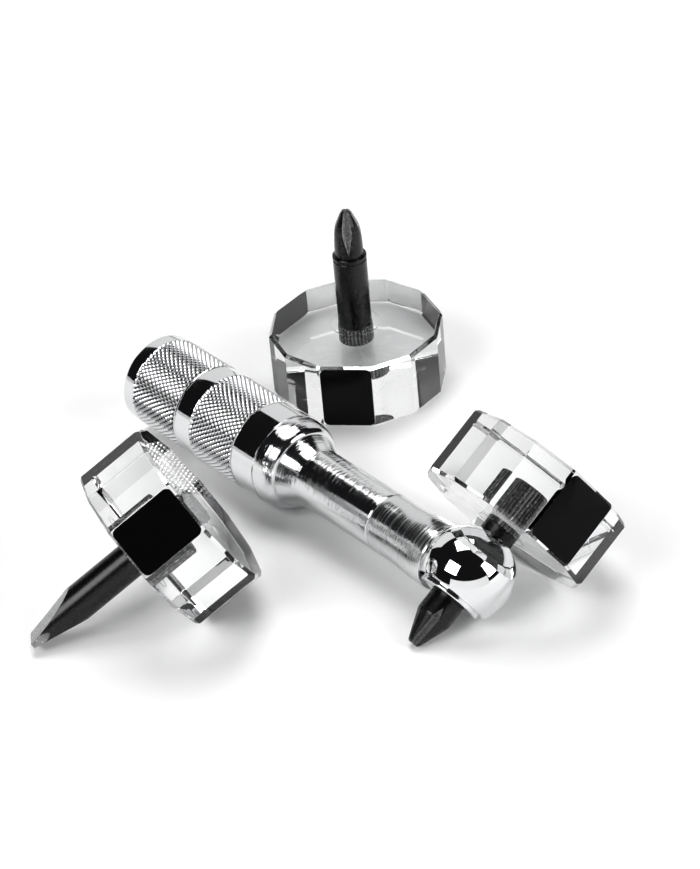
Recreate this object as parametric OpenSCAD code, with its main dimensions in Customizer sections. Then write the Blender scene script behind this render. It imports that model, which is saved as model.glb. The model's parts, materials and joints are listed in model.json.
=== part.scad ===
// Palm driver set: three clear acrylic knob drivers and a chrome lever handle
// with a ball head. Driver 3 is plugged through the ball head.
// Millimetres. The origin is the middle of knob 1's resting face, +Z is up and
// +X runs along the handle from its end cap to its ball head.

/* [Knob] */
// Diameter of a knob across its corners
knob_d = 33.2; // [32:0.1:34]
// Thickness of a knob
knob_t = 13.2; // [12.6:0.1:13.6]
// Angle that one black facet spans around a knob
black_angle = 34; // [32:1:36]
// Width of the polished bevel around each face of a knob
bevel = 0.6; // [0.4:0.1:0.8]
// Thickness of a black facet panel
panel_t = 0.25; // [0.2:0.05:0.4]

/* [Bit] */
// Diameter of the round shank, a quarter of an inch
bit_d = 6.35; // [6.25:0.05:6.35]
// Length of a bit outside its knob
bit_len = 24.5; // [24:0.1:25]
// Length of the knurled root inside the knob
root_len = 8; // [7:0.2:10]
// Length of the fluted end of bit 1
flute_len = 9.3; // [8.8:0.1:10]

/* [Handle] */
// Diameter of the handle over its plain rims
grip_d = 17.6; // [17.2:0.1:18]
// Diameter of the slim neck
neck_d = 10.9; // [10.6:0.1:11.2]
// Length of one knurled band
knurl_len = 12.8; // [12:0.2:14]
// Diameter of the ball head
ball_d = 16.5; // [16.3:0.1:16.7]

/* [Layout] */
// Middle of the ball head from the standing knob, along the handle
ball_x = 69.5; // [66:0.1:74]
// Middle of the ball head from the standing knob, across the handle
ball_y = -33.7; // [-38:0.1:-32]
// Middle of knob 2's bit face from the standing knob, along the handle
knob2_x = 30.1; // [28:0.1:33]
// Middle of knob 2's bit face from the standing knob, across the handle
knob2_y = -72.6; // [-80:0.1:-72]
// Heading of knob 2's bit
knob2_heading = -110.7; // [-114:0.1:-105]
// Turn of knob 1 about its bit
turn_1 = -47; // [-60:1:-30]
// Turn of knob 2 about its bit
turn_2 = 129; // [125:1:135]
// Turn of knob 3 about its bit
turn_3 = 111; // [105:1:125]

/* [Hidden] */
$fn = 96;
cut = 1;                 // how far a cutting solid runs past a face
fit = 0.05;              // radial clearance of a running fit

// Knob: three black facets, and three clear ones between each pair
knob_r = knob_d / 2;
clear_angle = (120 - black_angle) / 3;
corner_steps = [0, black_angle, black_angle + clear_angle, black_angle + 2 * clear_angle];
corners = [for (third = [0:2], step = corner_steps) 120 * third - black_angle / 2 + step];
black_reach = knob_r * cos(black_angle / 2);
panel_w = 2 * knob_r * sin(black_angle / 2) - 0.6;
panel_h = knob_t - 2 * bevel;
panel_corner_r = 0.8;
spot_r = 4.7;            // shallow spot face around the bit
spot_depth = 0.15;

// Bit
bit_r = bit_d / 2;
root_teeth = 28;
root_r = bit_r + 0.17;   // crests of the straight knurl
root_valley_r = bit_r - 0.08;
cross_neck_r = 2.7;      // fluted end of bit 1
tip_1_r = 0.85;
cone_len = 5.5;          // tapered end of bit 3
tip_3_r = 1.1;
web_r = 0.45;            // half the core left between the flutes at the tip
blade_t = 0.9;           // thickness of the slotted blade at its tip
blade_w = 5.8;
blade_turn = 110;        // the blade's width, counted from straight down
grind_len = 10.8;        // length of the ground hollows
grind_r = 60;

// Rest: a lying driver touches the ground with the tip of its bit and with its knob's
// lowest corner. How far below the axis that corner lies, as a share of the radius:
function low_corner(turn) = max([for (a = corners) cos(a + turn)]);
function lean(turn, tip_r) = atan((knob_r * low_corner(turn) - tip_r) / (bit_len + bevel));
function face_height(turn, tip_r) =
    bit_len * sin(lean(turn, tip_r)) + tip_r * cos(lean(turn, tip_r));
// How far below the axis the tilted blade's tip reaches
blade_low_r = (blade_w * abs(cos(blade_turn)) + blade_t * abs(sin(blade_turn))) / 2;
lean_2 = lean(turn_2, blade_low_r);
lean_3 = lean(turn_3, tip_3_r);

// Handle stations, counted from the middle of the ball towards the end cap
grip_r = grip_d / 2;
neck_r = neck_d / 2;
ball_r = ball_d / 2;
seat_s = 5.9;            // shoulder where the ball meets the neck tube
flare_r = 5.95;
seam_s = 20.5;           // joint half way along the neck
bell_s = 39.5;           // where the neck starts to swell into the bell
collar_s = 48.2;
collar_len = 6;
collar_r = grip_r - 0.12;
knurl_s = collar_s + collar_len;
rim_s = knurl_s + knurl_len - 0.3;
cap_s = rim_s + 4.3;
cap_rim_s = cap_s + knurl_len + 0.2;
end_s = cap_rim_s + 3;
knurl_r = grip_r - 0.15; // half way between the knurl's crests and valleys
edge = 0.3;              // small edge chamfer on the turned parts
groove_d = 0.2;
spigot_r = 6.5;          // threaded spigot under the end cap
spigot_len = 8;
hollow_r = 4.5;
joint_r = 3.4;           // threaded spigot of the neck tube
joint_len = 8;
stub_r = 3.9;            // the ball's stub inside the neck tube
stub_len = 7;
washer_r = 7.8;
washer_t = 0.8;

// Ball head, along the plugged-in bit, positive towards its tip
knob3_gap = (face_height(turn_3, tip_3_r) - grip_r) / sin(lean_3);
plate_t = 0.8;
flat_t = 4.65;           // flat under the cover plate
plate_r = 5.8;
pass_r = bit_r + 0.25;   // clear hole for the bit
pocket_t = -3.9;         // floor of the clutch pocket
pocket_r = 5;
ring_t = -5.9;           // middle of the friction ring
ring_wire_r = 0.65;
ring_r = bit_r + 0.04 + ring_wire_r;
cup_wall = 0.5;
cup_len = 7.8;
roller_r = 0.6;
roller_at = bit_r + roller_r + 0.03;
roller_len = 4.8;
roller_count = 6;
cage_in_r = bit_r + 0.15;
cage_out_r = bit_r + 0.95;
cage_len = 6.6;

// ---------------------------------------------------------------- placing

module along_handle() {
    translate([ball_x, ball_y, grip_r])
        rotate([0, -90, 0])
            children();
}

// Local +Z runs along the plugged-in bit towards its tip
module across_ball() {
    translate([ball_x, ball_y, grip_r])
        rotate([90 + lean_3, 0, 0])
            children();
}

// Local +Z is the bit's direction and z = 0 is the knob's bit face
module place(n) {
    if (n == 1)
        translate([0, 0, knob_t])
            rotate([0, 0, turn_1])
                children();
    if (n == 2)
        translate([knob2_x, knob2_y, face_height(turn_2, blade_low_r)])
            rotate([0, 90 + lean_2, knob2_heading])
                rotate([0, 0, turn_2])
                    children();
    if (n == 3)
        across_ball()
            translate([0, 0, -knob3_gap])
                rotate([0, 0, turn_3 - 90])
                    children();
}

module ring(r_out, r_in, h) {
    difference() {
        cylinder(r = r_out, h = h);
        translate([0, 0, -cut])
            cylinder(r = r_in, h = h + 2 * cut);
    }
}

// ---------------------------------------------------------------- knob drivers

module knob_prism(r, h) {
    linear_extrude(h)
        polygon([for (a = corners) r * [cos(a), sin(a)]]);
}

module knob_blank() {
    hull() {
        translate([0, 0, -knob_t])
            knob_prism(knob_r - bevel, knob_t);
        translate([0, 0, bevel - knob_t])
            knob_prism(knob_r, panel_h);
    }
}

module panel_outline() {
    square([panel_w - 2 * panel_corner_r, panel_h], center = true);
    square([panel_w, panel_h - 2 * panel_corner_r], center = true);
    for (sx = [-1, 1], sy = [-1, 1])
        translate([sx * (panel_w / 2 - panel_corner_r), sy * (panel_h / 2 - panel_corner_r)])
            circle(r = panel_corner_r, $fn = 32);
}

module black_panels(t) {
    for (third = [0:2])
        rotate([0, 0, 120 * third])
            translate([black_reach - panel_t, 0, -knob_t / 2])
                rotate([90, 0, 90])
                    linear_extrude(t)
                        panel_outline();
}

module knob(n) {
    color([0.93, 0.95, 0.96, 0.35])
        place(n)
            difference() {
                knob_blank();
                black_panels(panel_t + cut);
                translate([0, 0, -root_len])
                    cylinder(r = root_r, h = root_len + cut);
                translate([0, 0, -spot_depth])
                    cylinder(r = spot_r, h = spot_depth + cut);
            }
}

module facets(n) {
    color([0.02, 0.02, 0.02])
        place(n)
            black_panels(panel_t);
}

// Straight-knurled root pressed into the knob
module root() {
    translate([0, 0, -root_len])
        linear_extrude(root_len)
            polygon([for (i = [0:2 * root_teeth - 1])
                (i % 2 == 0 ? root_r : root_valley_r)
                    * [cos(180 * i / root_teeth), sin(180 * i / root_teeth)]]);
}

// Four V-shaped flutes. They leave a thin core at the tip and run out at full radius
// a given length below it.
module cross_flutes(len, r_out) {
    slope = atan((r_out - web_r) / len);
    for (quarter = [0:3])
        rotate([0, 0, 90 * quarter])
            translate([web_r, 0, bit_len])
                rotate([0, -slope, 0])
                    translate([0, 0, -len - 4])
                        rotate([0, 0, -45])
                            cube([8, 8, len + 8]);
}

// Shank from inside the root to its end, as an outline around the axis
function shank_outline(end) = [[0, -root_len / 2], [bit_r - 0.2, -root_len / 2],
    [bit_r - 0.2, 0.01], [bit_r, 0.2], [bit_r, end]];

// Cross-head bit with a narrower fluted end and a rounded nose
module nosed_bit() {
    root();
    shank_end = bit_len - flute_len;
    difference() {
        rotate_extrude()
            polygon(concat(shank_outline(shank_end - 1.1),
                [[bit_r - 0.2, shank_end - 0.9], [bit_r, shank_end - 0.7],
                [bit_r, shank_end - 0.15],
                [bit_r - 0.15, shank_end], [cross_neck_r, shank_end],
                [cross_neck_r - 0.1, bit_len - 4.8], [2.45, bit_len - 3.7],
                [2.1, bit_len - 2.7], [1.6, bit_len - 1.6], [1.15, bit_len - 0.6],
                [tip_1_r, bit_len - 0.15], [tip_1_r - 0.2, bit_len], [0, bit_len]]));
        cross_flutes(8.4, cross_neck_r);
    }
}

// Cross-head bit with a full-size shank and a tapered end
module tapered_bit() {
    root();
    difference() {
        rotate_extrude()
            polygon(concat(shank_outline(bit_len - cone_len),
                [[tip_3_r + 0.15, bit_len - 0.3], [tip_3_r, bit_len], [0, bit_len]]));
        cross_flutes(7.6, bit_r);
    }
}

// Slotted bit: two ground hollows leave a blade across the shank
module slotted_bit() {
    root();
    difference() {
        rotate_extrude()
            polygon(concat(shank_outline(bit_len), [[0, bit_len]]));
        for (side = [0, 180])
            rotate([0, 0, side])
                hollow_grind();
        for (side = [0, 180])
            rotate([0, 0, side])
                blade_side();
    }
}

// A wheel-ground hollow that ends at half the blade's thickness at the tip
module hollow_grind() {
    tilt = atan((bit_r - blade_t / 2) / grind_len);
    translate([0, blade_t / 2, bit_len])
        rotate([tilt - asin(grind_len / 2 / grind_r), 0, 0])
            translate([-bit_d, grind_r, 0])
                rotate([0, 90, 0])
                    cylinder(r = grind_r, h = 2 * bit_d, $fn = 200);
}

// Trims the blade to its width at the tip
module blade_side() {
    translate([blade_w / 2, -bit_d, bit_len])
        rotate([0, -4, 0])
            translate([0, 0, -10])
                cube([bit_d, 2 * bit_d, 20]);
}

module bit(n) {
    color([0.09, 0.09, 0.1])
        place(n) {
            if (n == 1)
                rotate([0, 0, 7])
                    nosed_bit();
            if (n == 2)
                rotate([0, 0, blade_turn - turn_2])
                    slotted_bit();
            if (n == 3)
                rotate([0, 0, 135 - turn_3])
                    tapered_bit();
        }
}

// ---------------------------------------------------------------- handle

// Smooth step from 0 to 1
function ease(u) = (1 - cos(180 * u)) / 2;

module end_cap() {
    color([0.82, 0.83, 0.85])
        along_handle()
            difference() {
                rotate_extrude()
                    polygon([[0, cap_s], [knurl_r - edge, cap_s], [knurl_r, cap_s + edge],
                        [knurl_r, cap_rim_s], [grip_r, cap_rim_s], [grip_r, end_s - 2 * edge],
                        [grip_r - 2 * edge, end_s], [0, end_s]]);
                translate([0, 0, cap_s - cut])
                    cylinder(r = spigot_r + fit, h = spigot_len + 1 + cut);
                translate([0, 0, cap_s - cut])
                    cylinder(r = washer_r + fit, h = washer_t + fit + cut);
            }
}

module cap_washer() {
    color([0.9, 0.9, 0.86])
        along_handle()
            translate([0, 0, cap_s])
                ring(washer_r, spigot_r + fit, washer_t);
}

module grip_body() {
    steps = 16;
    bell = [for (i = [0:steps]) let (u = i / steps)
        [neck_r + (collar_r - 0.2 - neck_r) * pow(ease(pow(u, 0.9)), 0.8),
         bell_s + (collar_s - bell_s) * u]];
    color([0.84, 0.85, 0.87])
        along_handle()
            difference() {
                rotate_extrude()
                    polygon(concat([[0, seam_s], [neck_r - groove_d, seam_s],
                        [neck_r, seam_s + groove_d]], bell,
                        [[collar_r - 0.05, collar_s], [collar_r, collar_s + 0.1],
                        [collar_r, knurl_s], [knurl_r, knurl_s],
                        [knurl_r, rim_s], [grip_r, rim_s],
                        [grip_r, cap_s - edge], [grip_r - edge, cap_s],
                        [spigot_r, cap_s], [spigot_r, cap_s + spigot_len - edge],
                        [spigot_r - edge, cap_s + spigot_len], [0, cap_s + spigot_len]]));
                translate([0, 0, seam_s - cut])
                    cylinder(r = joint_r, h = joint_len + cut);
                translate([0, 0, collar_s + 2])
                    cylinder(r = hollow_r, h = end_s);
            }
}

module neck_tube() {
    steps = 12;
    flare = [for (i = [0:steps]) let (u = i / steps)
        [flare_r + (neck_r - flare_r) * ease(u), seat_s + 2 + (16.5 - seat_s - 2) * u]];
    color([0.84, 0.85, 0.87])
        along_handle()
            difference() {
                rotate_extrude()
                    polygon(concat([[0, seat_s], [flare_r - 0.2, seat_s]], flare,
                        [[neck_r, seam_s - groove_d], [neck_r - groove_d, seam_s],
                        [joint_r - fit, seam_s], [joint_r - fit, seam_s + joint_len - edge],
                        [joint_r - edge, seam_s + joint_len], [0, seam_s + joint_len]]));
                translate([0, 0, seat_s - cut])
                    cylinder(r = stub_r, h = stub_len + 0.3 + cut);
            }
}

module ball_head() {
    color([0.88, 0.89, 0.9])
        difference() {
            union() {
                difference() {
                    across_ball()
                        sphere(r = ball_r);
                    along_handle()
                        translate([0, 0, seat_s])
                            cylinder(r = ball_d, h = ball_d);
                }
                along_handle()
                    translate([0, 0, seat_s - 0.3])
                        cylinder(r = stub_r, h = stub_len + 0.3);
            }
            across_ball() {
                translate([0, 0, flat_t])
                    cylinder(r = ball_d, h = ball_d);
                translate([0, 0, -ball_d])
                    cylinder(r = pass_r, h = 2 * ball_d);
                translate([0, 0, pocket_t])
                    cylinder(r = pocket_r, h = ball_d);
                translate([0, 0, ring_t - ring_wire_r - fit])
                    cylinder(r = ring_r + ring_wire_r + fit, h = 2 * (ring_wire_r + fit));
            }
        }
}

module cover_plate() {
    color([0.8, 0.81, 0.83])
        across_ball()
            translate([0, 0, flat_t])
                rotate_extrude()
                    polygon([[pass_r, -0.4], [pocket_r - 0.02, -0.4],
                        [pocket_r - 0.02, 0], [plate_r, 0], [plate_r, plate_t - 0.2],
                        [plate_r - 0.2, plate_t], [pass_r, plate_t]]);
}

module clutch_cup() {
    color([0.6, 0.6, 0.62])
        across_ball()
            translate([0, 0, pocket_t + 0.05])
                difference() {
                    cylinder(r = pocket_r - 0.01, h = cup_len);
                    translate([0, 0, cup_wall])
                        cylinder(r = pocket_r - cup_wall, h = cup_len - 2 * cup_wall);
                    translate([0, 0, -cut])
                        cylinder(r = pass_r, h = cup_len + 2 * cut);
                }
}

module clutch_cage() {
    color([0.85, 0.8, 0.65])
        across_ball()
            translate([0, 0, pocket_t + 0.05 + (cup_len - cage_len) / 2])
                difference() {
                    ring(cage_out_r, cage_in_r, cage_len);
                    for (i = [0:roller_count - 1])
                        rotate([0, 0, 360 * i / roller_count])
                            translate([cage_in_r - cut, -0.7, (cage_len - roller_len - 0.2) / 2])
                                cube([2 + cut, 1.7, roller_len + 0.2]);
                }
}

module clutch_rollers() {
    color([0.75, 0.75, 0.78])
        across_ball()
            translate([0, 0, pocket_t + 0.05 + (cup_len - roller_len) / 2])
                for (i = [0:roller_count - 1])
                    rotate([0, 0, 360 * i / roller_count])
                        translate([roller_at, 0, 0])
                            cylinder(r = roller_r, h = roller_len, $fn = 32);
}

// One leaf spring beside each roller, in the same cage window
module roller_springs() {
    color([0.7, 0.7, 0.72])
        across_ball()
            translate([0, 0, pocket_t + 0.05 + (cup_len - roller_len) / 2 + 0.4])
                for (i = [0:roller_count - 1])
                    rotate([0, 0, 360 * i / roller_count])
                        translate([bit_r + 0.25, 0.72, 0])
                            cube([0.65, 0.12, roller_len - 0.8]);
}

module friction_ring() {
    color([0.06, 0.06, 0.06])
        across_ball()
            translate([0, 0, ring_t])
                rotate_extrude()
                    translate([ring_r, 0])
                        circle(r = ring_wire_r, $fn = 32);
}

end_cap();
cap_washer();
grip_body();
neck_tube();
ball_head();
cover_plate();
clutch_cup();
clutch_cage();
clutch_rollers();
roller_springs();
friction_ring();
bit(1);  // bit_1
bit(2);  // bit_2
bit(3);  // bit_3
facets(1);  // facets_1
facets(2);  // facets_2
facets(3);  // facets_3
knob(1);  // knob_1
knob(2);  // knob_2
knob(3);  // knob_3
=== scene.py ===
"""Palm driver set: clear acrylic knobs, black bits and a chrome lever handle, as looks on the CAD frame.

Lengths in this script are millimetres until they reach a mesh or a light, where MM turns them
into metres.
"""

import json
import math

import bpy
import numpy as np
from mathutils import Matrix, Vector


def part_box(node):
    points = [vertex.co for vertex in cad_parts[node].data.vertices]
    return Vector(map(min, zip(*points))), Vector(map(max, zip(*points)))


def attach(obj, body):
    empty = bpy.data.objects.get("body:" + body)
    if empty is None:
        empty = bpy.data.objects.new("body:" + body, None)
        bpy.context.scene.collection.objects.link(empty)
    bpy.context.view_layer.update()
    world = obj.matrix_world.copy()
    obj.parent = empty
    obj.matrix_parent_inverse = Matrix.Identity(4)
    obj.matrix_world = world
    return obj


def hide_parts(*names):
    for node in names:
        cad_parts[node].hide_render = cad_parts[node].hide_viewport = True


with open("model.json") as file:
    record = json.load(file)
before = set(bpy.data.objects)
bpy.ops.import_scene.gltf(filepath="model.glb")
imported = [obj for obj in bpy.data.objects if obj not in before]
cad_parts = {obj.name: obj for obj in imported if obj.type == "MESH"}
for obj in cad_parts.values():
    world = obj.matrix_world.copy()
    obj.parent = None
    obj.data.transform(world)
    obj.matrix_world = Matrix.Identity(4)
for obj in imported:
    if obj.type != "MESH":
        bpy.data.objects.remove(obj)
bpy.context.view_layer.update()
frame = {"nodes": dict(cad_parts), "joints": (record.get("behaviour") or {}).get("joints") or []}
MM = 0.001
joints = {j["name"]: j for j in frame["joints"]}


def unit(v):
    v = np.asarray(v, float)
    return v / np.linalg.norm(v)


# ---------------------------------------------------------------- sizes

# Handle, counted from the middle of the ball towards the end cap
BALL = np.array(joints["driver_spin"]["pos_m"]) / MM
BIT_WAY = unit(joints["driver_spin"]["axis"])


def station(node, end):
    """How far along the handle the node's front (end 1) or rear (end 0) lies."""
    return BALL[0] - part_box(node)[end].x / MM


SEAT_S = station("neck_tube", 1)
SEAM_S = station("grip_body", 1)
CAP_S = station("end_cap", 1)
END_S = station("end_cap", 0)
GRIP_R = (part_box("end_cap")[1].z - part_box("end_cap")[0].z) / MM / 2
NECK_R = 5.45
FLARE_R = (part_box("neck_tube")[1].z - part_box("neck_tube")[0].z) / MM / 2
BALL_R = 8.25
COLLAR_R = GRIP_R - 0.12
BELL_S, SHOULDER_S, COLLAR_S = 39.5, 43.6, 48.2
COLLAR_LEN = 6.0
KNURL_LEN = 12.5
CAP_RIM_S = END_S - 3.0
SPIGOT_R, SPIGOT_LEN = 6.5, 8.0
NECK_SPIGOT_R, NECK_SPIGOT_LEN = 3.4, 8.0
WASHER_R, WASHER_T = 7.85, 0.85

# Diamond knurl: two families of V grooves, 34 degrees either side of the axis
KNURL_STARTS = 60
KNURL_PER_MM = 0.745
KNURL_DEPTH = 0.26
KNURL_CREST = 0.82          # where the crests are cut flat, as a share of the full V
KNURL_PROUD = 0.02          # how far the crests are raised above the rims
KNURL_RUNOUT = 0.35         # over which the grooves come up at a band's ends
KNURL_COLS = 8 * KNURL_STARTS
EDGE_R = 0.3                # rounding of the handle's small edges

# Ball head, along the plugged-in bit
FLAT_T = 4.65
PASS_R = 3.425
POCKET_R, POCKET_T = 5.0, -3.9
RING_T, RING_HALF, RING_R = -5.9, 0.7, 4.565
PLATE_T, PLATE_R = 0.8, 5.8

# Knobs and bits
KNOB_T = (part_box("knob_1")[1].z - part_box("knob_1")[0].z) / MM
KNOB_R = 16.6
BLACK_ANGLE = 34.0
BEVEL = 0.6
EDGE_POLISH = 0.13          # width of the softened line along each edge of a knob
SPOT_R, SPOT_GROOVE, SPOT_DEPTH = 4.7, 0.1, 0.07
FACE_RING_R = 8.0           # where a face's grid changes from a circle to the knob's outline
PANEL_T = 0.25
PANEL_CORNER_R = 1.1
PANEL_PROUD = 0.02
PANEL_SIDE_GAP, PANEL_END_REACH = 0.05, 0.15
BIT_R = 3.175
BIT_LEN = 24.5
ROOT_LEN = 8.0
ROOT_TEETH = 28
ROOT_R, ROOT_VALLEY_R = BIT_R + 0.17, BIT_R - 0.08
BIT_COLS = 8 * ROOT_TEETH
BIT_STEP = 0.11             # between the rings of a bit
GROUND_EDGE = 0.06          # depth over which oxide gives way to ground metal
WHEEL_R = 60.0              # wheel that grinds the slotted bit's hollows


# ---------------------------------------------------------------- camera

AIM = Vector((12.66, -13.16, 0)) * MM
AIM_DISTANCE = 559.9 * MM
FROM_AZIMUTH, FROM_ELEVATION, ROLL = -36.83, 34.18, -5.26
SENSOR = 36.0
FOCAL_TO_FRAME = 30 / 7     # focal length over the frame's width


def make_camera():
    az, el, roll = (math.radians(a) for a in (FROM_AZIMUTH, FROM_ELEVATION, ROLL))
    away = Vector((math.cos(el) * math.cos(az), math.cos(el) * math.sin(az), math.sin(el)))
    right = Vector((-math.sin(az), math.cos(az), 0))
    up = away.cross(right)
    rolled_right = math.cos(roll) * right + math.sin(roll) * up
    rolled_up = math.cos(roll) * up - math.sin(roll) * right
    cam = bpy.data.cameras.new("camera")
    cam.sensor_fit = "HORIZONTAL"
    cam.sensor_width = SENSOR
    cam.lens = SENSOR * FOCAL_TO_FRAME
    cam.clip_start, cam.clip_end = 0.01, 20
    ob = bpy.data.objects.new("camera", cam)
    bpy.context.scene.collection.objects.link(ob)
    turn = Matrix((rolled_right, rolled_up, away)).transposed().to_4x4()
    ob.matrix_world = Matrix.Translation(AIM + away * AIM_DISTANCE) @ turn
    bpy.context.scene.camera = ob


make_camera()


# ---------------------------------------------------------------- meshes

def grid_mesh(name, rows, poles=(None, None), loop=False, sharp=35, attributes=None):
    """A closed surface on a grid of points: rows[i, j] is point j of ring i, and every ring
    closes on itself. poles are the points that close the first and the last ring, or loop
    joins the last ring to the first. Edges turning more than sharp degrees stay crisp."""
    n_rows, n_cols = rows.shape[:2]
    points = rows.reshape(-1, 3)
    i = np.arange(n_rows if loop else n_rows - 1)[:, None]
    j = np.arange(n_cols)[None]

    def at(ring, place):
        return (ring % n_rows) * n_cols + place % n_cols

    quads = np.stack([at(i, j), at(i, j + 1), at(i + 1, j + 1), at(i + 1, j)], -1).reshape(-1, 4)
    fans = []
    for pole, ring, turn in ((poles[0], 0, False), (poles[1], n_rows - 1, True)):
        if pole is None:
            continue
        tip = np.full(n_cols, len(points))
        a, b = at(ring, j[0]), at(ring, j[0] + 1)
        fans.append(np.stack([tip, a, b] if turn else [tip, b, a], -1))
        points = np.vstack([points, [pole]])
    corners = np.concatenate([quads.ravel()] + [f.ravel() for f in fans])
    sizes = np.concatenate([np.full(len(quads), 4)] + [np.full(len(f), 3) for f in fans])
    starts = np.concatenate([[0], np.cumsum(sizes)[:-1]])
    # The volume's sign says which way the faces point
    a, b, c = (points[corners[starts + k]] for k in (0, 1, 2))
    first, third, fourth = (points[quads[:, k]] for k in (0, 2, 3))
    volume = np.einsum("ij,ij->", a, np.cross(b, c)) + np.einsum("ij,ij->", first, np.cross(third, fourth))
    if volume < 0:
        corners = np.concatenate([quads[:, ::-1].ravel()] + [f[:, ::-1].ravel() for f in fans])
    me = bpy.data.meshes.new(name)
    me.vertices.add(len(points))
    me.vertices.foreach_set("co", (points * MM).astype(np.float32).ravel())
    me.loops.add(len(corners))
    me.loops.foreach_set("vertex_index", corners.astype(np.int32))
    me.polygons.add(len(starts))
    me.polygons.foreach_set("loop_start", starts.astype(np.int32))
    me.update(calc_edges=True)
    for key, values in (attributes or {}).items():
        spread = np.zeros(len(points), np.float32)
        spread[:values.size] = values.ravel()
        me.attributes.new(key, "FLOAT", "POINT").data.foreach_set("value", spread)
    me.polygons.foreach_set("use_smooth", np.ones(len(starts), bool))
    me.set_sharp_from_angle(angle=math.radians(sharp))
    ob = bpy.data.objects.new(name, me)
    bpy.context.scene.collection.objects.link(ob)
    return ob


def joined(name, parts):
    """One object from several, in their order."""
    with bpy.context.temp_override(active_object=parts[0], selected_editable_objects=parts):
        bpy.ops.object.join()
    parts[0].name = parts[0].data.name = name
    return parts[0]


def around(origin, axis, side, s, r, cols):
    """Rings of radius r[i] (or r[i, j]) at distance s[i] from origin along axis; the angle
    starts at side and turns by the right hand about axis."""
    axis, side = unit(axis), unit(side)
    across = np.cross(axis, side)
    t = np.linspace(0, 2 * np.pi, cols, endpoint=False)
    r = np.broadcast_to(np.asarray(r, float).reshape(len(s), -1), (len(s), cols))
    round_way = np.cos(t)[:, None] * side + np.sin(t)[:, None] * across
    return origin + s[:, None, None] * axis + r[..., None] * round_way


def spaced(points, step):
    """Points on a broken line, no more than step apart, with its corners kept."""
    out = [points[0]]
    for a, b in zip(points[:-1], points[1:]):
        n = max(1, math.ceil(math.dist(a, b) / step))
        out += [tuple(np.array(a) + (np.array(b) - np.array(a)) * k / n) for k in range(1, n + 1)]
    return out


def arc(centre, radius, start, end, n):
    """n points of a circle in the (distance, radius) plane, angles in degrees."""
    t = np.radians(np.linspace(start, end, n))
    return list(zip(centre[0] + radius * np.cos(t), centre[1] + radius * np.sin(t)))


# ---------------------------------------------------------------- shader parts

def new_group(name, inputs, outputs):
    group = bpy.data.node_groups.new(name, "ShaderNodeTree")
    for key, value in inputs.items():
        socket = group.interface.new_socket(key, in_out="INPUT", socket_type="NodeSocketFloat")
        socket.default_value = value
    for key in outputs:
        group.interface.new_socket(key, in_out="OUTPUT", socket_type="NodeSocketFloat")
    return group, group.nodes.new("NodeGroupInput"), group.nodes.new("NodeGroupOutput")


def math_node(tree, operation, a, b=None, clamp=False):
    node = tree.nodes.new("ShaderNodeMath")
    node.operation, node.use_clamp = operation, clamp
    for socket, value in zip(node.inputs, (a, b)):
        if isinstance(value, (int, float)):
            socket.default_value = value
        elif value is not None:
            tree.links.new(value, socket)
    return node.outputs[0]


def noise_node(tree, scale, detail, squeeze=(1, 1, 1), roughness=0.5):
    """Noise on object coordinates, in cycles per metre, squeezed along each axis."""
    coord = tree.nodes.new("ShaderNodeTexCoord")
    mapping = tree.nodes.new("ShaderNodeMapping")
    mapping.inputs["Scale"].default_value = squeeze
    noise = tree.nodes.new("ShaderNodeTexNoise")
    noise.inputs["Detail"].default_value = detail
    noise.inputs["Roughness"].default_value = roughness
    if isinstance(scale, (int, float)):
        noise.inputs["Scale"].default_value = scale
    else:
        tree.links.new(scale, noise.inputs["Scale"])
    tree.links.new(coord.outputs["Object"], mapping.inputs["Vector"])
    tree.links.new(mapping.outputs["Vector"], noise.inputs["Vector"])
    return noise.outputs["Fac"]


def range_node(tree, value, low, high, to_low=0.0, to_high=1.0, smooth=False):
    node = tree.nodes.new("ShaderNodeMapRange")
    node.interpolation_type = "SMOOTHSTEP" if smooth else "LINEAR"
    for key, number in (("From Min", low), ("From Max", high), ("To Min", to_low), ("To Max", to_high)):
        node.inputs[key].default_value = number
    tree.links.new(value, node.inputs["Value"])
    return node.outputs["Result"]


def build_wear():
    """Handling marks: soft smears of a few millimetres, and hair scratches much finer."""
    group, given, out = new_group("handling_wear", {"Smear Scale": 300.0}, ("Smears", "Hairs"))
    smears = noise_node(group, given.outputs["Smear Scale"], 3)
    group.links.new(range_node(group, smears, 0.42, 0.7), out.inputs["Smears"])
    hairs = []
    for squeeze in ((1, 0.04, 0.3), (0.05, 1, 0.25)):
        streak = noise_node(group, 5200, 2, squeeze)
        hairs.append(range_node(group, streak, 0.66, 0.74))
    group.links.new(math_node(group, "MAXIMUM", *hairs), out.inputs["Hairs"])
    return group


def build_turning():
    """Tool marks of a lathe: rings round the handle's axis of uneven depth, broken here and there."""
    group, _, out = new_group("turning_marks", {}, ("Height", "Rings"))
    broad = noise_node(group, 1900, 2, (1, 0.05, 0.05))
    fine = noise_node(group, 6000, 2, (1, 0.02, 0.02))
    total = math_node(group, "ADD", math_node(group, "MULTIPLY", broad, 0.65),
                      math_node(group, "MULTIPLY", fine, 0.35))
    group.links.new(total, out.inputs["Height"])
    group.links.new(range_node(group, fine, 0.4, 0.65), out.inputs["Rings"])
    return group


WEAR = build_wear()
TURNING = build_turning()


def material(name, colour, roughness, metallic=0.0, **sockets):
    mat = bpy.data.materials.new(name)
    mat.use_nodes = True
    shader = mat.node_tree.nodes["Principled BSDF"]
    shader.inputs["Base Color"].default_value = (*colour, 1)
    shader.inputs["Roughness"].default_value = roughness
    shader.inputs["Metallic"].default_value = metallic
    for key, value in sockets.items():
        shader.inputs[key.replace("_", " ")].default_value = value
    return mat, mat.node_tree, shader


def place_group(tree, group, **values):
    node = tree.nodes.new("ShaderNodeGroup")
    node.node_tree = group
    for key, value in values.items():
        node.inputs[key.replace("_", " ")].default_value = value
    return node


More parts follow.
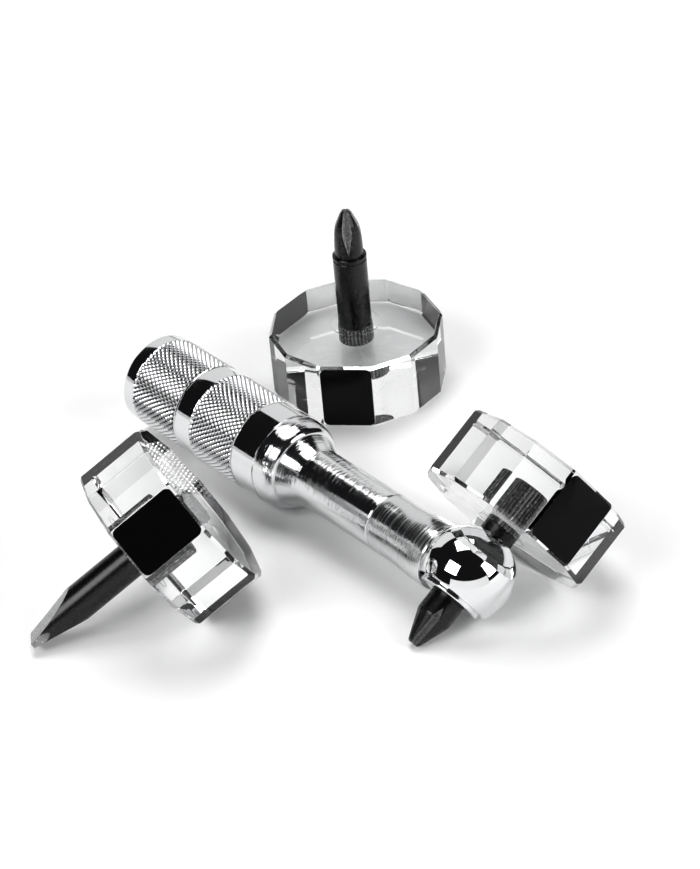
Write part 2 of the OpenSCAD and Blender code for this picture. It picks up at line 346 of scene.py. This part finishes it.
def bump(tree, shader, height, distance, strength=1.0):
    node = tree.nodes.new("ShaderNodeBump")
    node.inputs["Distance"].default_value = distance
    node.inputs["Strength"].default_value = strength
    tree.links.new(height, node.inputs["Height"])
    tree.links.new(node.outputs["Normal"], shader.inputs["Normal"])


def mix_colour(tree, shader, factor, first, second):
    node = tree.nodes.new("ShaderNodeMix")
    node.data_type = "RGBA"
    node.inputs["A"].default_value = (*first, 1)
    node.inputs["B"].default_value = (*second, 1)
    tree.links.new(factor, node.inputs["Factor"])
    tree.links.new(node.outputs["Result"], shader.inputs["Base Color"])


def attribute(tree, name):
    node = tree.nodes.new("ShaderNodeAttribute")
    node.attribute_name = name
    return node.outputs["Fac"]


def worn(tree, shader, clean, smeared, hair=0.0, smear_scale=300.0):
    """Roughness that runs from clean to smeared, plus hair scratches."""
    wear = place_group(tree, WEAR, Smear_Scale=smear_scale)
    level = range_node(tree, wear.outputs["Smears"], 0, 1, clean, smeared)
    hairs = math_node(tree, "MULTIPLY", wear.outputs["Hairs"], hair)
    tree.links.new(math_node(tree, "ADD", level, hairs), shader.inputs["Roughness"])


# ---------------------------------------------------------------- finishes

def grip_chrome():
    """Bright chrome: painted shade darkens the bottom of the knurl, which is also duller; ringed on neck
    and bell.
    """
    mat, tree, shader = material("grip_chrome", (0.72, 0.725, 0.73), 0.06, 1.0)
    turned = attribute(tree, "turned")
    groove_shade_and_dullness = attribute(tree, "groove_shade_and_dullness")
    # Painted shade: the knurl's grooves get a darker chrome colour
    mix_colour(tree, shader, groove_shade_and_dullness, (0.72, 0.725, 0.73), (0.30, 0.30, 0.31))
    turning = place_group(tree, TURNING)
    rings = math_node(tree, "MULTIPLY", turning.outputs["Rings"], turned)
    dull = math_node(tree, "MULTIPLY", groove_shade_and_dullness, 0.25)
    smears = place_group(tree, WEAR, Smear_Scale=220.0)
    base = range_node(tree, smears.outputs["Smears"], 0, 1, 0.045, 0.10)
    rough = math_node(tree, "ADD", base, math_node(tree, "MULTIPLY", rings, 0.10))
    tree.links.new(math_node(tree, "ADD", rough, dull), shader.inputs["Roughness"])
    bump(tree, shader, math_node(tree, "MULTIPLY", turning.outputs["Height"], turned), 0.00009)
    return mat


def tube_chrome():
    """Satin chrome over a finely turned tube."""
    mat, tree, shader = material("tube_chrome", (0.66, 0.665, 0.67), 0.2, 1.0)
    turning = place_group(tree, TURNING)
    tree.links.new(range_node(tree, turning.outputs["Rings"], 0, 1, 0.14, 0.3),
                   shader.inputs["Roughness"])
    bump(tree, shader, turning.outputs["Height"], 0.000008)
    return mat


def ball_chrome():
    """Mirror chrome with faint smears and hair scratches."""
    mat, tree, shader = material("ball_chrome", (0.78, 0.785, 0.79), 0.03, 1.0)
    worn(tree, shader, 0.015, 0.05, 0.06, 260.0)
    return mat


def plate_steel():
    """Polished ring, faced on a lathe."""
    mat, tree, shader = material("plate_steel", (0.8, 0.81, 0.82), 0.15, 1.0)
    worn(tree, shader, 0.1, 0.22, 0.1, 500.0)
    return mat


def bearing_steel():
    """Hardened steel of the clutch, oiled and slightly scuffed."""
    mat, tree, shader = material("bearing_steel", (0.55, 0.55, 0.56), 0.25, 1.0)
    worn(tree, shader, 0.2, 0.35, 0.1, 900.0)
    return mat


def moulded(name, colour, other, roughness):
    """Moulded plastic or rubber: faint mottling, and a skin of fine grain."""
    mat, tree, shader = material(name, colour, roughness)
    mix_colour(tree, shader, noise_node(tree, 700, 3), colour, other)
    bump(tree, shader, noise_node(tree, 6000, 2), 0.00001)
    return mat


def acrylic():
    """Polished clear acrylic, with hair scratches from handling."""
    mat, tree, shader = material("acrylic", (0.95, 0.955, 0.955), 0.0, IOR=1.49)
    shader.inputs["Transmission Weight"].default_value = 1.0
    worn(tree, shader, 0.0, 0.012, 0.05, 150.0)
    bump(tree, shader, noise_node(tree, 120, 2), 0.00002)
    return mat


def facet_paint():
    """Gloss black, slightly wavy, with fine scratches."""
    mat, tree, shader = material("facet_paint", (0.004, 0.004, 0.0045), 0.12)
    shader.inputs["Specular IOR Level"].default_value = 0.12
    worn(tree, shader, 0.05, 0.12, 0.1, 200.0)
    bump(tree, shader, noise_node(tree, 260, 2), 0.00002)
    return mat


def facet_backing():
    """The paint's inner side, seen through the acrylic: flat dark grey."""
    mat, tree, shader = material("facet_backing", (0.02, 0.02, 0.021), 0.8)
    shader.inputs["Specular IOR Level"].default_value = 0.1
    mix_colour(tree, shader, noise_node(tree, 500, 3), (0.010, 0.010, 0.0105), (0.014, 0.014, 0.0145))
    return mat


def bit_steel():
    """Satin black oxide, with lighter metal where the tip is ground or milled, and a painted highlight in
    the same lighter metal on the knurled root's crests and its ring at the bit face.
    """
    mat, tree, shader = material("bit_steel", (0.004, 0.004, 0.0045), 0.28)
    shader.inputs["Specular IOR Level"].default_value = 0.45
    # One mask for the lighter metal: real ground and milled faces on the tip, and a painted highlight on
    # the knurled root's crests and its ring at the face
    ground = attribute(tree, "ground")
    patchy = noise_node(tree, 900, 4)
    shade = math_node(tree, "MULTIPLY", ground, range_node(tree, patchy, 0.3, 0.7, 0.55, 1.0))
    mix_colour(tree, shader, shade, (0.004, 0.004, 0.0045), (0.42, 0.42, 0.425))
    rough = range_node(tree, noise_node(tree, 1800, 3), 0.35, 0.65, 0.24, 0.28)
    tree.links.new(rough, shader.inputs["Roughness"])
    metal = range_node(tree, ground, 0, 1, 0.0, 0.8)
    tree.links.new(metal, shader.inputs["Metallic"])
    bump(tree, shader, noise_node(tree, 3500, 3), 0.000004)
    return mat


MATERIALS = {
    "grip": grip_chrome(), "tube": tube_chrome(), "ball": ball_chrome(), "plate": plate_steel(),
    "bearing": bearing_steel(), "acrylic": acrylic(), "facet": facet_paint(),
    "backing": facet_backing(), "bit": bit_steel(),
    "cage": moulded("cage_nylon", (0.70, 0.63, 0.45), (0.78, 0.71, 0.54), 0.4),
    "nylon": moulded("washer_nylon", (0.80, 0.80, 0.74), (0.86, 0.86, 0.81), 0.4),
    "rubber": moulded("ring_rubber", (0.012, 0.012, 0.012), (0.025, 0.025, 0.025), 0.6),
}


def finish_piece(ob, body, slot, look, *nodes):
    for key in ([look] if isinstance(look, str) else look):
        ob.data.materials.append(MATERIALS[key])
    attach(ob, body)
    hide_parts(*nodes)
    return ob


# ---------------------------------------------------------------- handle

BACKWARD = np.array([-1.0, 0, 0])
SIDEWAYS = np.array([0, 1.0, 0])


def knurl(s, cols):
    """Height of a diamond knurl from 0 in a groove to 1 on a crest: at each point the lower of
    two triangle waves, one on each family of helical grooves, with the crests cut flat."""
    t = np.arange(cols) * KNURL_STARTS / cols
    along = KNURL_PER_MM * s[:, None]
    waves = [np.abs(2 * (phase - np.round(phase))) for phase in (t + along, t - along)]
    return np.minimum(np.minimum(*waves), KNURL_CREST) / KNURL_CREST


def knurled_piece(name, outline, band, marks=(0, 0), poles=None):
    """A turned part of the handle from its outline of (s, r) points, which closes on itself or
    ends at two poles. Between the two stations of band the radius is the full one less the
    knurl's depth; between those of marks the surface shows tool marks."""
    s, r = np.array(outline).T
    in_band = ((s > band[0]) & (s < band[1]) & (r > GRIP_R - 0.5))[:, None]
    height = knurl(s, KNURL_COLS)
    fade = np.clip(np.minimum(s - band[0], band[1] - s) / KNURL_RUNOUT, 0, 1)[:, None]
    cut = GRIP_R + KNURL_PROUD - KNURL_DEPTH * (1 - height) * fade
    rings = np.where(in_band, cut, r[:, None])
    # Painted shade in the knurl's grooves, strongest at their bottom; the chrome also reads this mask as
    # duller roughness
    groove_shade_and_dullness = np.where(in_band, (1 - height) ** 2 * fade, 0)
    turned = np.repeat(((s > marks[0]) & (s < marks[1]))[:, None].astype(float), KNURL_COLS, 1)
    rows = around(BALL, BACKWARD, SIDEWAYS, s, rings, KNURL_COLS)
    return grid_mesh(name, rows, poles or (None, None), loop=poles is None, sharp=28,
                     attributes={"groove_shade_and_dullness": groove_shade_and_dullness, "turned": turned})


def bell_outline():
    """From the neck the bell swells on a power curve, then rounds over on a quarter ellipse."""
    u = np.linspace(0, 1, 22)
    hollow = list(zip(BELL_S + (SHOULDER_S - BELL_S) * u, NECK_R + 1.5 * u ** 1.6))
    a = np.radians(np.linspace(0, 90, 26))[1:]
    rise = COLLAR_R - 0.12 - NECK_R - 1.5
    shoulder = list(zip(COLLAR_S - (COLLAR_S - SHOULDER_S) * np.cos(a), NECK_R + 1.5 + rise * np.sin(a)))
    return hollow + shoulder


def knurl_rows(start, end):
    """Stations through a knurled band, eight to a diamond."""
    return [(s, GRIP_R) for s in np.arange(start, end, 1 / KNURL_PER_MM / 8)]


def make_grip():
    """Front section of the handle: neck, bell, collar, knurl, rim and the spigot for the cap."""
    joint_r, hollow_r, bore_r = NECK_SPIGOT_R, 4.5, 0.4
    joint_s, hollow_s = SEAM_S + NECK_SPIGOT_LEN, COLLAR_S + 2
    knurl_s = COLLAR_S + COLLAR_LEN
    rim_s = knurl_s + KNURL_LEN
    outline = [(SEAM_S, joint_r), (SEAM_S, NECK_R - 0.32)]
    outline += arc((SEAM_S + EDGE_R, NECK_R - EDGE_R), EDGE_R, 180, 90, 5)
    outline += spaced([(SEAM_S + 0.4, NECK_R), (BELL_S, NECK_R)], 1.0)[1:-1] + bell_outline()
    outline += [(COLLAR_S + 0.02, COLLAR_R - 0.05), (COLLAR_S + 0.07, COLLAR_R)]
    outline += [(knurl_s - 0.05, COLLAR_R), (knurl_s, COLLAR_R - 0.03)]
    outline += knurl_rows(knurl_s + 0.05, rim_s)
    outline += [(rim_s, GRIP_R - 0.03), (rim_s + 0.05, GRIP_R), (CAP_S - EDGE_R, GRIP_R)]
    outline += arc((CAP_S - EDGE_R, GRIP_R - EDGE_R), EDGE_R, 90, 0, 5)
    outline += [(CAP_S, SPIGOT_R), (CAP_S + SPIGOT_LEN - EDGE_R, SPIGOT_R),
                (CAP_S + SPIGOT_LEN, SPIGOT_R - EDGE_R), (CAP_S + SPIGOT_LEN, hollow_r),
                (hollow_s, hollow_r), (hollow_s, bore_r), (joint_s, bore_r), (joint_s, joint_r)]
    ob = knurled_piece("grip_body_chrome", outline, (knurl_s, rim_s), (SEAM_S - 1, COLLAR_S))
    finish_piece(ob, "handle", "chrome_grip", "grip", "grip_body")


def make_cap():
    """The cap is a cup: knurled outside, a plain bore for the spigot inside."""
    bore_end, bore_r = CAP_S + SPIGOT_LEN + 1, SPIGOT_R + 0.05
    outline = [(bore_end, bore_r), (CAP_S + WASHER_T, bore_r), (CAP_S + WASHER_T, WASHER_R)]
    outline += [(CAP_S, WASHER_R), (CAP_S, GRIP_R - 0.32)]
    outline += arc((CAP_S + 0.2, GRIP_R - 0.3), 0.2, 180, 90, 4)
    outline += knurl_rows(CAP_S + 0.25, CAP_RIM_S)
    outline += [(CAP_RIM_S, GRIP_R - 0.03), (CAP_RIM_S + 0.05, GRIP_R)]
    outline += arc((END_S - 2 * EDGE_R, GRIP_R - 2 * EDGE_R), 2 * EDGE_R, 90, 0, 8)
    poles = [BALL + BACKWARD * s for s in (bore_end, END_S)]
    ob = knurled_piece("end_cap_chrome", outline, (CAP_S + 0.2, CAP_RIM_S), poles=poles)
    finish_piece(ob, "cap", "chrome_grip", "grip", "end_cap")


def make_tube():
    """Slim tube that swells towards the ball on a cosine step, with its spigot in the grip."""
    joint_r, joint_end = NECK_SPIGOT_R - 0.01, SEAM_S + NECK_SPIGOT_LEN
    stub_r, stub_len, bore_r = 3.9, 7.3, 0.5
    u = np.linspace(0, 1, 30)
    flare = list(zip(SEAT_S + 2 + (14.5 - SEAT_S) * u,
                     FLARE_R + (NECK_R - FLARE_R) * (1 - np.cos(np.pi * u)) / 2))
    outline = [(SEAT_S, stub_r), (SEAT_S, FLARE_R - 0.22)]
    outline += arc((SEAT_S + 0.2, FLARE_R - 0.2), 0.2, 180, 90, 5) + flare
    outline += spaced([flare[-1], (SEAM_S - EDGE_R, NECK_R)], 1.0)[1:]
    outline += arc((SEAM_S - EDGE_R, NECK_R - EDGE_R), EDGE_R, 90, 0, 5)[1:]
    outline += [(SEAM_S, joint_r), (joint_end - EDGE_R, joint_r),
                (joint_end, NECK_SPIGOT_R - EDGE_R), (joint_end, bore_r),
                (SEAT_S + stub_len, bore_r), (SEAT_S + stub_len, stub_r)]
    s, r = np.array(outline).T
    rows = around(BALL, BACKWARD, SIDEWAYS, s, r, 192)
    ob = grid_mesh("neck_tube_chrome", rows, loop=True)
    finish_piece(ob, "handle", "turned_chrome", "tube", "neck_tube")


BIT_SIDE = np.array([1.0, 0, 0])


def make_ball():
    """A ball turned about the cross hole: hole and pocket inside, flat under the plate."""
    hole = math.degrees(math.acos(PASS_R / BALL_R))
    flat = math.degrees(math.asin(FLAT_T / BALL_R))
    outline = arc((0, 0), BALL_R, 180 - (90 - hole), 90 - flat, 150)
    outline += [(FLAT_T, POCKET_R), (POCKET_T, POCKET_R), (POCKET_T, PASS_R),
                (RING_T + RING_HALF, PASS_R), (RING_T + RING_HALF, RING_R),
                (RING_T - RING_HALF, RING_R), (RING_T - RING_HALF, PASS_R)]
    s, r = np.array(outline).T
    rows = around(BALL, BIT_WAY, BIT_SIDE, s, r, 256)
    ball = grid_mesh("ball_head_chrome", rows, loop=True)
    finish_piece(ball, "handle", "mirror_ball", "ball", "ball_head")


def make_plate():
    """Ring on the ball's flat, with both edges rounded and a lip that drops into the pocket."""
    lip, gap, outer_edge, inner_edge = 0.4, 0.02, 0.25, 0.15
    top = FLAT_T + PLATE_T
    outline = [(FLAT_T - lip, PASS_R), (FLAT_T - lip, POCKET_R - gap), (FLAT_T, POCKET_R - gap),
               (FLAT_T, PLATE_R - gap), (FLAT_T + gap, PLATE_R)]
    outline += arc((top - outer_edge, PLATE_R - outer_edge), outer_edge, 90, 0, 6)
    outline += arc((top - inner_edge, PASS_R + inner_edge), inner_edge, 0, -90, 4)
    s, r = np.array(outline).T
    plate = grid_mesh("cover_plate_ring", around(BALL, BIT_WAY, BIT_SIDE, s, r, 192), loop=True)
    finish_piece(plate, "handle", "plate", "plate", "cover_plate")


# ---------------------------------------------------------------- knob drivers

def corner_angles():
    """Angles of a knob's corners: three black facets, and three clear ones between each pair."""
    clear = (120 - BLACK_ANGLE) / 3
    steps = np.array([0, BLACK_ANGLE, BLACK_ANGLE + clear, BLACK_ANGLE + 2 * clear])
    return np.radians((120 * np.arange(3)[:, None] - BLACK_ANGLE / 2 + steps).ravel())


FRONT_RIGHT = np.array([0.8, -0.5, 0.33])


def driver_frame(n):
    """Bit face's middle, bit's way and first black facet's way of driver n. The three black
    facets are spread evenly, so their mean is the knob's middle, the way in which they spread
    least is the bit's, and three times their angle is the same for all. The first one is the
    one that faces the front right."""
    points = np.array([v.co for v in frame["nodes"][f"facets_{n}"].data.vertices]) / MM
    middle = points.mean(0)
    way = np.linalg.eigh(np.cov((points - middle).T))[1][:, 0]
    bit = np.array([v.co for v in frame["nodes"][f"bit_{n}"].data.vertices]) / MM
    way = way * np.sign((bit.mean(0) - middle) @ way)
    side = unit(np.cross(way, [0.3, 0.5, 0.8]))
    across = np.cross(way, side)
    seen = points - middle
    angle = np.angle(np.exp(3j * np.arctan2(seen @ across, seen @ side)).mean()) / 3
    thirds = angle + 2 * np.pi / 3 * np.arange(3)
    facing = np.cos(thirds)[:, None] * side + np.sin(thirds)[:, None] * across
    side = facing[np.argmax(facing @ FRONT_RIGHT)]
    return middle + way * KNOB_T / 2, way, side


def local(origin, way, side, xyz):
    """Points given along side, across and way, in the row's frame."""
    return origin + xyz @ np.array([side, np.cross(way, side), way])


def knob_outline(radius, per_edge):
    """The knob's outline through its corners at a radius, with points along each edge."""
    a = corner_angles()
    corners = radius * np.stack([np.cos(a), np.sin(a)], -1)
    u = np.arange(per_edge)[:, None] / per_edge
    following = np.roll(corners, -1, 0)
    return (corners[:, None] * (1 - u) + following[:, None] * u).reshape(-1, 2)


def make_knob(n):
    """Twelve-sided block with bevelled faces and a hair-thin ring cut around the bit. The rings
    of the grid run from the middle of the bit face over the sides to the middle of the back."""
    per_edge = 8
    way_round = knob_outline(1, per_edge)
    circle = way_round / np.linalg.norm(way_round, axis=1)[:, None]
    rings = [(circle * r, z) for r, z in ((SPOT_R - SPOT_GROOVE, 0), (SPOT_R, -SPOT_DEPTH),
                                          (SPOT_R + SPOT_GROOVE, 0), (FACE_RING_R, 0))]
    rings += [(way_round * r, z) for r, z in
              ((KNOB_R - BEVEL, 0), (KNOB_R, -BEVEL), (KNOB_R, BEVEL - KNOB_T), (KNOB_R - BEVEL, -KNOB_T))]
    rings += [(circle * FACE_RING_R, -KNOB_T)]
    xyz = np.array([np.column_stack([p, np.full(len(p), z)]) for p, z in rings])
    place = driver_frame(n)
    poles = local(*place, np.array([[0, 0, 0], [0, 0, -KNOB_T]]))
    ob = grid_mesh(f"clear_knob_{n}", local(*place, xyz), poles, sharp=8)
    soften = ob.modifiers.new("polished_edges", "BEVEL")
    soften.width, soften.segments = EDGE_POLISH * MM, 3
    soften.limit_method, soften.angle_limit = "ANGLE", math.radians(15)
    finish_piece(ob, f"driver_{n}", "clear", "acrylic", f"knob_{n}")


def make_panels(n):
    """Each black facet is a thin slab with rounded corners, let into the knob's side: its front
    stands a hair proud of the acrylic and its back lies inside it."""
    reach = KNOB_R * math.cos(math.radians(BLACK_ANGLE / 2))
    half_w = KNOB_R * math.sin(math.radians(BLACK_ANGLE / 2)) - PANEL_SIDE_GAP
    half_h = KNOB_T / 2 - BEVEL + PANEL_END_REACH
    back, front = reach - PANEL_T, reach + PANEL_PROUD
    corner = np.radians(np.linspace(0, 90, 7))
    quarter = np.stack([np.cos(corner), np.sin(corner)], -1) * PANEL_CORNER_R
    corner_middle = [half_w - PANEL_CORNER_R, half_h - PANEL_CORNER_R]
    outline = np.concatenate([(quarter[::turn] + corner_middle) * signs for signs, turn in
                              (([1, 1], 1), ([-1, 1], -1), ([-1, -1], 1), ([1, -1], -1))])
    slabs = []
    place = driver_frame(n)
    shift = np.array([0, 0, -KNOB_T / 2])
    for third in range(3):
        a = math.radians(120 * third)
        ways = np.array([[math.cos(a), math.sin(a), 0], [-math.sin(a), math.cos(a), 0], [0, 0, 1]])
        rings = [(back, 1.0), (reach + PANEL_PROUD / 4, 1.0), (front, 0.985)]
        xyz = np.array([np.column_stack([np.full(len(outline), x), outline * k]) for x, k in rings])
        ends = np.array([[back, 0, 0], [front, 0, 0]])
        slab = grid_mesh("slab", local(*place, xyz @ ways + shift),
                         local(*place, ends @ ways + shift), sharp=20)
        normals = np.empty(len(slab.data.polygons) * 3, np.float32)
        slab.data.polygons.foreach_get("normal", normals)
        outward = local(np.zeros(3), *place[1:], ways[:1])[0]
        inner = (normals.reshape(-1, 3) @ outward < 0.3).astype(np.int32)
        slab.data.polygons.foreach_set("material_index", inner)
        slabs.append(slab)
    ob = joined(f"black_facets_{n}", slabs)
    finish_piece(ob, f"driver_{n}", "black", ["facet", "backing"], f"facets_{n}")


def root_rows():
    """Radii of the knurled root, a triangle wave round the axis, from its end to the face."""
    phase = np.arange(BIT_COLS) * ROOT_TEETH / BIT_COLS
    teeth = ROOT_VALLEY_R + (ROOT_R - ROOT_VALLEY_R) * np.abs(2 * (phase - np.floor(phase)) - 1)
    z = np.array([-ROOT_LEN, -ROOT_LEN + 0.25, -ROOT_LEN / 2, -0.12, -0.02])
    inset = np.array([0.35, 0, 0, 0, 0.12])
    return z, teeth[None] - inset[:, None]


def make_bit(n, turn, outline, section, look):
    """A bit from its turned outline (z, r) and a section: a function that gives, for each
    height and angle, how far out the milled or ground faces let the metal reach. look says
    how bright its cut faces are."""
    z, r = np.array(spaced(outline, BIT_STEP)).T
    t = np.arange(BIT_COLS) * 2 * np.pi / BIT_COLS
    plain = np.repeat(r[:, None], BIT_COLS, 1)
    shape = np.minimum(plain, section(z[:, None], t[None]))
    ground = np.clip((plain - shape) / GROUND_EDGE, 0, 1)
    root_z, root_r = root_rows()
    z = np.concatenate([root_z, z])
    shape = np.vstack([root_r, shape])
    # Painted highlight: the knurled root's crests take the light metal colour of ground faces, and its
    # last ring, at the bit face, takes it in full
    root_crest_highlight = np.clip((root_r - ROOT_VALLEY_R) / (ROOT_R - ROOT_VALLEY_R), 0, 1)
    root_crest_highlight[-1] = 1
    ground = np.vstack([root_crest_highlight, ground * look])
    origin, way, side = driver_frame(n)
    side = unit(math.cos(turn) * side + math.sin(turn) * np.cross(way, side))
    rows = around(origin, way, side, z, shape, BIT_COLS)
    poles = [origin - way * ROOT_LEN, origin + way * BIT_LEN]
    ob = grid_mesh(f"black_bit_{n}", rows, poles, sharp=24, attributes={"ground": ground})
    finish_piece(ob, f"driver_{n}", "bit_steel", "bit", f"bit_{n}")


def flutes(length, web, reach):
    """Four V grooves: across each the metal ends on two lines at 45 degrees that meet at
    web from the axis at the tip, and run out at reach a length below it."""

    def section(z, t):
        depth = web + (reach - web) * (BIT_LEN - z) / length
        folded = np.abs((t + np.pi / 4) % (np.pi / 2) - np.pi / 4)
        gap = np.maximum(np.cos(folded) - np.sin(folded), 1e-3)
        return np.where(BIT_LEN - z < length + 0.5, depth / gap, np.inf)

    return section


def blade(length, thickness, width):
    """A wheel-ground hollow on each side, a circle in the lengthwise plane that ends at half
    the blade's thickness; the blade's ends are trimmed square to its width."""
    rise = BIT_R - thickness / 2
    chord = math.hypot(length, rise)
    tilt = math.atan2(rise, length) - math.asin(chord / 2 / WHEEL_R)
    centre = (BIT_LEN + WHEEL_R * math.sin(tilt), thickness / 2 + WHEEL_R * math.cos(tilt))

    def section(z, t):
        below = np.clip(z - centre[0], -WHEEL_R, WHEEL_R)
        face = centre[1] - np.sqrt(WHEEL_R ** 2 - below ** 2)
        face = np.where(BIT_LEN - z < length + 0.3, face, np.inf)
        side = width / 2 + (BIT_LEN - z) * math.tan(math.radians(4))
        with np.errstate(divide="ignore"):
            return np.minimum(face / np.abs(np.sin(t)), side / np.abs(np.cos(t)))

    return section


SHANK = [(0.0, BIT_R - 0.12), (0.15, BIT_R)]
neck_z = BIT_LEN - 9.3
NOSED = SHANK + [(neck_z - 1.1, BIT_R), (neck_z - 0.98, BIT_R - 0.12), (neck_z - 0.8, BIT_R - 0.12),
                 (neck_z - 0.68, BIT_R + 0.03), (neck_z - 0.15, BIT_R + 0.03), (neck_z, BIT_R - 0.12),
                 (neck_z, 2.7), (BIT_LEN - 4.8, 2.6), (BIT_LEN - 3.7, 2.45), (BIT_LEN - 2.7, 2.1),
                 (BIT_LEN - 1.6, 1.6), (BIT_LEN - 0.6, 1.15), (BIT_LEN - 0.15, 0.85), (BIT_LEN, 0.6)]
TAPERED = SHANK + [(BIT_LEN - 5.65, BIT_R), (BIT_LEN - 5.4, BIT_R - 0.07), (BIT_LEN - 0.3, 1.25),
                   (BIT_LEN, 0.95)]
SLOTTED = SHANK + [(BIT_LEN - 0.12, BIT_R), (BIT_LEN, BIT_R - 0.12)]


# ---------------------------------------------------------------- pieces

make_grip()
make_cap()
make_tube()
make_ball()
make_plate()
for number in (1, 2, 3):
    make_knob(number)
    make_panels(number)
make_bit(1, math.radians(7), NOSED, flutes(8.4, 0.35, 2.7), 0.9)
make_bit(2, math.radians(-19), SLOTTED, blade(10.8, 0.9, 5.8), 0.8)
make_bit(3, math.radians(24), TAPERED, flutes(7.6, 0.45, BIT_R), 0.5)

for node, look in (("clutch_cup", "bearing"), ("clutch_cage", "cage"), ("clutch_rollers", "bearing"),
                   ("roller_springs", "bearing"), ("friction_ring", "rubber"), ("cap_washer", "nylon")):
    frame["nodes"][node].data.materials[0] = MATERIALS[look]


# ---------------------------------------------------------------- stage and light

def make_stage():
    """A round paper sweep: flat for most of its radius, then curving up at its edge."""
    flat, lift, edge, cols = 1500.0, 190.0, 320.0, 96
    a = np.radians(np.linspace(0, 75, 14))
    rim = list(zip(flat + edge * np.sin(a), lift * (1 - np.cos(a))))
    r, z = np.array([(40.0, 0.0), (300.0, 0.0), (900.0, 0.0)] + rim).T
    t = np.linspace(0, 2 * np.pi, cols, endpoint=False)
    rows = np.dstack([r[:, None] * np.cos(t), r[:, None] * np.sin(t), np.repeat(z[:, None], cols, 1)])
    floor = grid_mesh("floor", rows, (np.zeros(3), None))
    if floor.data.polygons[0].normal.z < 0:
        floor.data.flip_normals()
    mat, tree, shader = material("white_paper", (0.93, 0.93, 0.93), 0.9)
    shader.inputs["Specular IOR Level"].default_value = 0.1
    mix_colour(tree, shader, noise_node(tree, 60, 3), (0.92, 0.92, 0.92), (0.94, 0.94, 0.94))
    floor.data.materials.append(mat)


def make_card():
    """A white card stood on the floor behind the camera, bent round the set as a quarter of a
    circle and leaning back on a quarter sine."""
    radius, height, lean, thickness = 1400.0, 480.0, 60.0, 6.0
    t = np.radians(np.linspace(-80, 8, 40))
    u = np.linspace(0, 1, 8)[:, None]
    r = radius + lean * np.sin(u * np.pi / 2)
    front = np.dstack([r * np.cos(t), r * np.sin(t), np.repeat(height * u, len(t), 1)])
    back = front + thickness * np.dstack([np.cos(t)[None], np.sin(t)[None], np.zeros((1, len(t)))])
    rows = np.concatenate([front, back[::-1]])
    card = grid_mesh("card", rows.transpose(1, 0, 2), (rows[:, 0].mean(0), rows[:, -1].mean(0)))
    card.data.materials.append(bpy.data.materials["white_paper"])


def softbox(name, way, distance, size, watts):
    """A rectangular lamp that looks at the middle of the set from a direction."""
    lamp = bpy.data.lights.new(name, "AREA")
    lamp.shape = "RECTANGLE"
    lamp.size, lamp.size_y = size
    lamp.energy = watts
    ob = bpy.data.objects.new(name, lamp)
    bpy.context.scene.collection.objects.link(ob)
    middle = Vector((0.03, -0.035, 0))
    ob.location = middle + Vector(way).normalized() * distance
    ob.rotation_euler = Vector(way).to_track_quat("Z", "Y").to_euler()


def make_light():
    world = bpy.data.worlds.new("dark_room")
    world.use_nodes = True
    world.node_tree.nodes["Background"].inputs["Color"].default_value = (0.012, 0.012, 0.013, 1)
    bpy.context.scene.world = world
    softbox("left_softbox", (0.03, -0.74, 0.68), 1.8, (1.0, 0.8), 14)
    softbox("right_softbox", (0.795, 0.37, 0.48), 1.8, (0.8, 1.0), 14)
    softbox("top_softbox", (-0.26, 0.20, 0.945), 1.8, (1.1, 1.0), 17)
    softbox("back_wall", (-0.76, 0.57, 0.42), 2.6, (4.4, 1.7), 18)
    view = bpy.context.scene.view_settings
    view.view_transform = "Standard"
    view.look = "Medium High Contrast"


make_stage()
make_card()
make_light()
